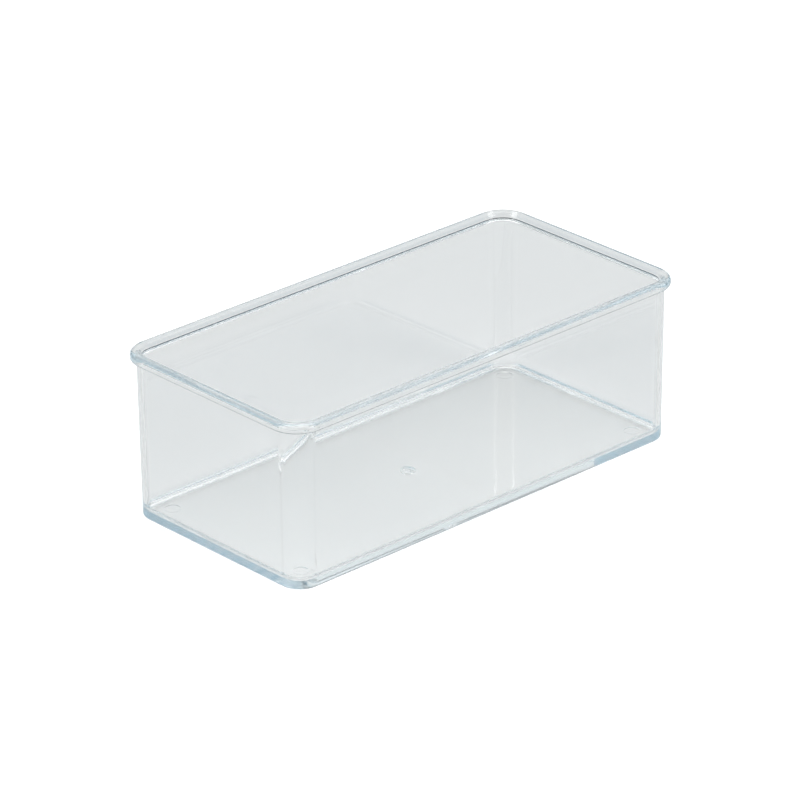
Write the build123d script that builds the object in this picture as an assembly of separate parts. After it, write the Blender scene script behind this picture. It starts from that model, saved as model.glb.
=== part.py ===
from build123d import *
import math
import os

# A clear open bin that stands beside others in a drawer and holds small craft supplies or parts.
# It is one injection moulding. It stands on z = 0 with its middle over the origin, its long side
# along X and its short side along Y. All sizes are in millimetres.

# Outside sizes over the rim, which is the widest part.
RIM_LENGTH = 152.4
RIM_WIDTH = 75.7
HEIGHT = 51.6
RIM_CORNER_RADIUS = 9.2

# Walls and floor. Every upright face leans outwards, so that the moulding leaves its tool.
WALL = 1.6
FLOOR = 1.8
DRAFT_DEGREES = 0.45
BASE_EDGE_RADIUS = 0.9
INNER_FLOOR_RADIUS = 2.5

# The rim, a lip with a full bead outside, a softened edge inside and a small root under it.
RIM_OVERHANG = 1.85
RIM_DEPTH = 2.9
RIM_EDGE_RADIUS = 1.3
RIM_INNER_RADIUS = 1.3
RIM_ROOT_RADIUS = 0.4

# The gate in the middle of the underside: a shallow round recess with the trimmed stub inside it.
GATE_DIAMETER = 4.7
GATE_DEPTH = 0.7
GATE_STUB_DIAMETER = 1.6
GATE_STUB_HEIGHT = 0.4

# The round marks in the floor, left by the pins that push the moulding off its core.
PIN_DIAMETER = 4.8
PIN_MARK_DEPTH = 0.15
PIN_TO_WALL = 7.0

DRAFT_SLOPE = math.tan(math.radians(DRAFT_DEGREES))
RIM_UNDERSIDE = HEIGHT - RIM_DEPTH

# The bin's corners turn about four upright axes, and its sides run between them.
CORNER_AXIS_X = RIM_LENGTH / 2 - RIM_CORNER_RADIUS
CORNER_AXIS_Y = RIM_WIDTH / 2 - RIM_CORNER_RADIUS


def outer_face(z):
    """The walls' outer face at a height, as a distance from a corner's axis."""
    return RIM_CORNER_RADIUS - RIM_OVERHANG - (RIM_UNDERSIDE - z) * DRAFT_SLOPE


def inner_face(z):
    """The walls' inner face at a height, as a distance from a corner's axis."""
    return outer_face(z) - WALL


def make_section():
    """One section through floor, wall and rim, from a corner's axis outwards."""
    edge = min(RIM_EDGE_RADIUS, 0.49 * RIM_DEPTH, 0.8 * RIM_OVERHANG)
    root = min(RIM_ROOT_RADIUS, 0.8 * (RIM_OVERHANG - edge))
    lip = min(RIM_INNER_RADIUS, 0.8 * (WALL + RIM_OVERHANG - edge))
    hollow = min(INNER_FLOOR_RADIUS, 0.9 * inner_face(FLOOR))
    corners = [
        ((0, 0), 0),
        ((outer_face(0), 0), BASE_EDGE_RADIUS),
        ((outer_face(RIM_UNDERSIDE), RIM_UNDERSIDE), root),
        ((RIM_CORNER_RADIUS, RIM_UNDERSIDE), edge),
        ((RIM_CORNER_RADIUS, HEIGHT), edge),
        ((inner_face(HEIGHT), HEIGHT), lip),
        ((inner_face(FLOOR), FLOOR), hollow),
        ((0, FLOOR), 0),
    ]
    points = [point for point, _ in corners]
    radii = [radius for _, radius in corners]
    return make_face(FilletPolyline(*points, radius=radii, close=True))


def section_plane(x, y, degrees):
    """The upright plane at a corner's axis that looks along a side, with the section's outside
    pointing at an angle from +X."""
    outward = Vector(math.cos(math.radians(degrees)), math.sin(math.radians(degrees)), 0)
    return Plane(origin=(x, y, 0), x_dir=outward, z_dir=outward.cross(Vector(0, 0, 1)))


def make_shell():
    """Floor, walls and rim: the section turned about each corner and drawn out along each side."""
    section = make_section()
    signs = [(1, 1), (-1, 1), (-1, -1), (1, -1)]
    side_lengths = [2 * CORNER_AXIS_Y, 2 * CORNER_AXIS_X] * 2
    shell = Box(
        2 * CORNER_AXIS_X, 2 * CORNER_AXIS_Y, FLOOR, align=(Align.CENTER, Align.CENTER, Align.MIN)
    )
    pieces = []
    for turn, ((sign_x, sign_y), side_length) in enumerate(zip(signs, side_lengths)):
        x = sign_x * CORNER_AXIS_X
        y = sign_y * CORNER_AXIS_Y
        placed = section_plane(x, y, 90 * turn) * section
        pieces.append(revolve(placed, Axis((x, y, 0), (0, 0, 1)), 90))
        pieces.append(extrude(placed, amount=side_length))
    return shell + pieces


def make_gate_recess():
    """What the gate leaves out of the underside, with its stub standing inside."""
    recess = Cylinder(GATE_DIAMETER / 2, GATE_DEPTH, align=(Align.CENTER, Align.CENTER, Align.MIN))
    stub = Pos(0, 0, GATE_DEPTH) * Cylinder(
        GATE_STUB_DIAMETER / 2, GATE_STUB_HEIGHT, align=(Align.CENTER, Align.CENTER, Align.MAX)
    )
    return recess - stub


def make_pin_marks():
    """The four shallow discs pressed into the floor, the same way in from both walls."""
    x = CORNER_AXIS_X + inner_face(FLOOR) - PIN_TO_WALL
    y = CORNER_AXIS_Y + inner_face(FLOOR) - PIN_TO_WALL
    disc = Cylinder(
        PIN_DIAMETER / 2, PIN_MARK_DEPTH, align=(Align.CENTER, Align.CENTER, Align.MAX)
    )
    return [Pos(sx * x, sy * y, FLOOR) * disc for sx in (1, -1) for sy in (1, -1)]


def make_organizer_bin():
    return make_shell() - make_gate_recess() - make_pin_marks()


def main():
    os.makedirs("parts", exist_ok=True)
    export_step(make_organizer_bin(), "parts/organizer_bin.step")


if __name__ == "__main__":
    main()
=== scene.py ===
import math
import bpy
from mathutils import Matrix, Vector

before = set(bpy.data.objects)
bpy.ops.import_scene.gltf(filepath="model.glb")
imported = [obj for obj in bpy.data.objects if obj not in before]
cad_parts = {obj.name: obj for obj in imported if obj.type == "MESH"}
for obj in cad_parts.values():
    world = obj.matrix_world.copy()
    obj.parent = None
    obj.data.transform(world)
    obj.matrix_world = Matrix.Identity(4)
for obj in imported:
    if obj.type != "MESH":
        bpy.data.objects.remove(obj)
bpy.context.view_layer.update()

# Camera: the photograph's viewing angle, fitted to the bin's outline, in metres and degrees.
CAMERA_AZIMUTH = -42.74
CAMERA_ELEVATION = 25.19
CAMERA_ROLL = 0.52
CAMERA_LENS_MM = 219.56
CAMERA_SENSOR_MM = 36.0
CAMERA_CLIP_END = 50.0
# Where the middle of the bin's base lies from the camera: to the right, down and ahead.
BASE_FROM_CAMERA = (0.0017256, 0.0214291, 1.4229897)
# The camera's direction seen from the bin, as an angle from +X.
CAMERA_SIDE = CAMERA_AZIMUTH - 90

# Clear polystyrene: a faint blue shows only along the floor and the rim, where light runs far.
PLASTIC_IOR = 1.59
# The roughness follows the flow noise between these two of its values.
PLASTIC_ROUGHNESS = (0.0, 0.004)
FLOW_NOISE_RANGE = (0.45, 0.75)
PLASTIC_ABSORPTION = (0.45, 0.74, 0.87, 1)
PLASTIC_ABSORPTION_PER_METRE = 1.3
FLOW_WAVE_PER_METRE = 22.0
FLOW_WAVE_HEIGHT = 0.000004
FLOW_WAVE_DETAIL = 2.0
# The mould left the hollow where the walls meet the floor a little matt. In metres, from
# the middles of the corners' arcs outward and from the table up.
ARC_MIDDLE_X = 0.0670
ARC_MIDDLE_Y = 0.02865
HOLLOW_OUTWARD = (0.0024, 0.0029)
HOLLOW_INSIDE_WALL = (0.0056, 0.0060)
HOLLOW_UPWARD = (0.0014, 0.0017)
HOLLOW_TOP = (0.0042, 0.0050)
HOLLOW_ROUGHNESS = 0.2

# The table: its own colour, and the white that is added where the camera sees it directly,
# or through or mirrored in the plastic. It lies a hair under the bin, in metres.
FLOOR_SIZE = 12.0
FLOOR_GAP = 0.0002
FLOOR_ALBEDO = 0.70
FLOOR_LIFT_DIRECT = 0.50
FLOOR_LIFT_THROUGH = 0.12
FLOOR_LIFT_COLOUR = (1.0, 1.0, 1.0, 1)

# The studio round the bin, from the horizon to straight up: elevation in degrees and colour.
STRAIGHT_UP = 90
HALF_TURN = 180
STUDIO_WALLS = [
    (0, (0.02, 0.03, 0.035)),
    (14, (0.12, 0.15, 0.16)),
    (25, (0.40, 0.44, 0.44)),
    (50, (0.46, 0.48, 0.48)),
    (90, (0.60, 0.615, 0.61)),
]
# Patches of light on the walls: name, azimuth from the camera's side, elevation, half width,
# half height, soft edge and the colour it adds. Angles are in degrees, and negative azimuths
# are on the left. A patch with negative colour darkens the walls.
SOFT_BOXES = [
    ("left box", -57, 30, 10, 14, 1.5, (3.6, 3.6, 3.6)),
    ("right box", 57, 30, 10, 14, 1.5, (3.6, 3.6, 3.6)),
    ("table edge glow", -5, 2, 68, 12, 6, (1.0, 1.0, 1.0)),
    ("back overhead", 180, 67, 75, 15, 16, (1.9, 1.9, 1.9)),
    ("back panel", 180, 35, 60, 12, 10, (0.42, 0.43, 0.43)),
    ("camera gap", 0, 32, 36, 18, 4, (-0.26, -0.26, -0.26)),
    ("left side wall", -92, 17, 18, 22, 8, (-0.24, -0.09, 0.02)),
    ("right side wall", 92, 17, 18, 22, 8, (-0.24, -0.09, 0.02)),
]
# Light runs a long way inside the clear rim and floor.
LIGHT_BOUNCES = 400


def view_axes(azimuth, elevation, roll):
    """Right, up and forward of a camera, from its angles in degrees."""
    a, e, r = (math.radians(v) for v in (azimuth, elevation, roll))
    forward = Vector((-math.sin(a) * math.cos(e), math.cos(a) * math.cos(e), -math.sin(e)))
    right = Vector((math.cos(a), math.sin(a), 0))
    down = forward.cross(right)
    rolled_right = math.cos(r) * right + math.sin(r) * down
    rolled_down = -math.sin(r) * right + math.cos(r) * down
    return rolled_right, -rolled_down, forward


def add_camera():
    right, up, forward = view_axes(CAMERA_AZIMUTH, CAMERA_ELEVATION, CAMERA_ROLL)
    data = bpy.data.cameras.new("photo_camera")
    data.lens = CAMERA_LENS_MM
    data.sensor_width = CAMERA_SENSOR_MM
    data.clip_end = CAMERA_CLIP_END
    camera = bpy.data.objects.new("photo_camera", data)
    bpy.context.scene.collection.objects.link(camera)
    to_right, to_down, ahead = BASE_FROM_CAMERA
    place = -to_right * right + to_down * up - ahead * forward
    turn = Matrix((right, up, -forward)).transposed().to_4x4()
    camera.matrix_world = Matrix.Translation(place) @ turn
    bpy.context.scene.camera = camera


def new_material(name):
    material = bpy.data.materials.new(name)
    material.use_nodes = True
    tree = material.node_tree
    tree.nodes.clear()
    output = tree.nodes.new("ShaderNodeOutputMaterial")
    return material, tree, output


def math_node(tree, operation, first, second=None):
    """A math node's result. Each input is a socket or a number."""
    node = tree.nodes.new("ShaderNodeMath")
    node.operation = operation
    for socket, value in zip(node.inputs, (first, second)):
        if isinstance(value, bpy.types.NodeSocket):
            tree.links.new(value, socket)
        elif value is not None:
            socket.default_value = value
    return node.outputs[0]


def vector_node(tree, operation, first, second):
    """A vector math node's result. Each input is a socket or a vector."""
    node = tree.nodes.new("ShaderNodeVectorMath")
    node.operation = operation
    for socket, value in zip(node.inputs, (first, second)):
        if isinstance(value, bpy.types.NodeSocket):
            tree.links.new(value, socket)
        else:
            socket.default_value = value
    return node.outputs[0]


def map_range(tree, value, from_range, to_range, shape="LINEAR"):
    node = tree.nodes.new("ShaderNodeMapRange")
    node.interpolation_type = shape
    tree.links.new(value, node.inputs["Value"])
    node.inputs["From Min"].default_value, node.inputs["From Max"].default_value = from_range
    node.inputs["To Min"].default_value, node.inputs["To Max"].default_value = to_range
    return node.outputs["Result"]


def past_arc_middle(tree, place, arc_middle):
    """How far a place lies beyond the middle of the corners' arcs, along one axis."""
    beyond = math_node(tree, "SUBTRACT", math_node(tree, "ABSOLUTE", place), arc_middle)
    return math_node(tree, "MAXIMUM", beyond, 0)


def hollow(tree, place):
    """1 on the hollow where the walls meet the floor inside the bin, 0 elsewhere."""
    split = tree.nodes.new("ShaderNodeSeparateXYZ")
    tree.links.new(place, split.inputs[0])
    along = past_arc_middle(tree, split.outputs["X"], ARC_MIDDLE_X)
    across = past_arc_middle(tree, split.outputs["Y"], ARC_MIDDLE_Y)
    squares = math_node(
        tree, "ADD", math_node(tree, "POWER", along, 2), math_node(tree, "POWER", across, 2)
    )
    outward = math_node(tree, "SQRT", squares)
    from_floor = map_range(tree, outward, HOLLOW_OUTWARD, (0, 1))
    inside_wall = map_range(tree, outward, HOLLOW_INSIDE_WALL, (1, 0))
    above_table = map_range(tree, split.outputs["Z"], HOLLOW_UPWARD, (0, 1))
    below_wall = map_range(tree, split.outputs["Z"], HOLLOW_TOP, (1, 0))
    level = math_node(tree, "MULTIPLY", from_floor, inside_wall)
    upright = math_node(tree, "MULTIPLY", above_table, below_wall)
    return math_node(tree, "MULTIPLY", level, upright)


def clear_plastic():
    material, tree, output = new_material("clear_plastic")
    shader = tree.nodes.new("ShaderNodeBsdfPrincipled")
    shader.inputs["Base Color"].default_value = (1, 1, 1, 1)
    shader.inputs["IOR"].default_value = PLASTIC_IOR
    shader.inputs["Transmission Weight"].default_value = 1.0
    coordinate = tree.nodes.new("ShaderNodeTexCoord")
    flow = tree.nodes.new("ShaderNodeTexNoise")
    flow.inputs["Scale"].default_value = FLOW_WAVE_PER_METRE
    flow.inputs["Detail"].default_value = FLOW_WAVE_DETAIL
    tree.links.new(coordinate.outputs["Object"], flow.inputs["Vector"])
    haze = map_range(tree, flow.outputs["Fac"], FLOW_NOISE_RANGE, PLASTIC_ROUGHNESS)
    in_hollow = hollow(tree, coordinate.outputs["Object"])
    matt = math_node(tree, "MULTIPLY", in_hollow, HOLLOW_ROUGHNESS)
    tree.links.new(math_node(tree, "MAXIMUM", haze, matt), shader.inputs["Roughness"])
    bump = tree.nodes.new("ShaderNodeBump")
    bump.inputs["Strength"].default_value = 1.0
    bump.inputs["Distance"].default_value = FLOW_WAVE_HEIGHT
    tree.links.new(flow.outputs["Fac"], bump.inputs["Height"])
    tree.links.new(bump.outputs["Normal"], shader.inputs["Normal"])
    tint = tree.nodes.new("ShaderNodeVolumeAbsorption")
    tint.inputs["Color"].default_value = PLASTIC_ABSORPTION
    tint.inputs["Density"].default_value = PLASTIC_ABSORPTION_PER_METRE
    tree.links.new(shader.outputs["BSDF"], output.inputs["Surface"])
    tree.links.new(tint.outputs["Volume"], output.inputs["Volume"])
    return material


def floor_paper():
    material, tree, output = new_material("floor_paper")
    diffuse = tree.nodes.new("ShaderNodeBsdfDiffuse")
    diffuse.inputs["Color"].default_value = (FLOOR_ALBEDO, FLOOR_ALBEDO, FLOOR_ALBEDO, 1)
    lift = tree.nodes.new("ShaderNodeEmission")
    lift.inputs["Color"].default_value = FLOOR_LIFT_COLOUR
    path = tree.nodes.new("ShaderNodeLightPath")
    direct = math_node(tree, "MULTIPLY", path.outputs["Is Camera Ray"], FLOOR_LIFT_DIRECT)
    bent = math_node(
        tree, "MAXIMUM", path.outputs["Is Glossy Ray"], path.outputs["Is Transmission Ray"]
    )
    through = math_node(tree, "MULTIPLY", bent, FLOOR_LIFT_THROUGH)
    strength = math_node(tree, "MAXIMUM", direct, through)
    tree.links.new(strength, lift.inputs["Strength"])
    both = tree.nodes.new("ShaderNodeAddShader")
    tree.links.new(diffuse.outputs[0], both.inputs[0])
    tree.links.new(lift.outputs[0], both.inputs[1])
    tree.links.new(both.outputs[0], output.inputs["Surface"])
    return material


def add_floor():
    data = bpy.data.meshes.new("floor")
    h = FLOOR_SIZE / 2
    corners = [(-h, -h, 0), (h, -h, 0), (h, h, 0), (-h, h, 0)]
    data.from_pydata(corners, [], [(0, 1, 2, 3)])
    floor = bpy.data.objects.new("floor", data)
    floor.location.z = -FLOOR_GAP
    data.materials.append(floor_paper())
    bpy.context.scene.collection.objects.link(floor)


def soft_box(tree, azimuth, elevation, box):
    """What one soft box adds in a direction, from its middle to its soft edge."""
    _, box_azimuth, box_elevation, half_width, half_height, edge, colour = box
    turned = math_node(tree, "SUBTRACT", azimuth, box_azimuth)
    wrapped = math_node(tree, "PINGPONG", turned, HALF_TURN)
    across = math_node(tree, "SUBTRACT", wrapped, half_width)
    raised = math_node(tree, "SUBTRACT", elevation, box_elevation)
    along = math_node(tree, "SUBTRACT", math_node(tree, "ABSOLUTE", raised), half_height)
    outside = math_node(tree, "MAXIMUM", across, along)
    share = map_range(tree, outside, (-edge / 2, edge / 2), (1, 0), "SMOOTHSTEP")
    return vector_node(tree, "MULTIPLY", colour, share)


def make_world():
    world = bpy.data.worlds.new("studio")
    bpy.context.scene.world = world
    world.use_nodes = True
    tree = world.node_tree
    tree.nodes.clear()
    output = tree.nodes.new("ShaderNodeOutputWorld")
    background = tree.nodes.new("ShaderNodeBackground")
    coordinate = tree.nodes.new("ShaderNodeTexCoord")
    turn = tree.nodes.new("ShaderNodeVectorRotate")
    turn.rotation_type = "Z_AXIS"
    turn.inputs["Angle"].default_value = -math.radians(CAMERA_SIDE)
    split = tree.nodes.new("ShaderNodeSeparateXYZ")
    tree.links.new(coordinate.outputs["Generated"], turn.inputs["Vector"])
    tree.links.new(turn.outputs[0], split.inputs[0])
    to_degrees = math.degrees(1)
    angle = math_node(tree, "ARCTAN2", split.outputs["Y"], split.outputs["X"])
    azimuth = math_node(tree, "MULTIPLY", angle, to_degrees)
    height = math_node(tree, "ARCSINE", split.outputs["Z"])
    elevation = math_node(tree, "MULTIPLY", height, to_degrees)
    walls = tree.nodes.new("ShaderNodeValToRGB")
    stops = walls.color_ramp.elements
    while len(stops) < len(STUDIO_WALLS):
        stops.new(1.0)
    for stop, (degrees, colour) in zip(stops, STUDIO_WALLS):
        stop.position = degrees / STRAIGHT_UP
        stop.color = (*colour, 1)
    tree.links.new(math_node(tree, "DIVIDE", elevation, STRAIGHT_UP), walls.inputs[0])
    light = walls.outputs["Color"]
    for box in SOFT_BOXES:
        light = vector_node(tree, "ADD", light, soft_box(tree, azimuth, elevation, box))
    tree.links.new(light, background.inputs["Color"])
    tree.links.new(background.outputs[0], output.inputs["Surface"])


add_camera()
add_floor()
make_world()
plastic = clear_plastic()
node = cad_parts["organizer_bin"]
for slot in node.material_slots:
    slot.material = plastic

scene = bpy.context.scene
scene.view_settings.view_transform = "Standard"
scene.cycles.max_bounces = LIGHT_BOUNCES
scene.cycles.transmission_bounces = LIGHT_BOUNCES
scene.cycles.glossy_bounces = LIGHT_BOUNCES
scene.cycles.blur_glossy = 0.0

bpy.context.view_layer.update()
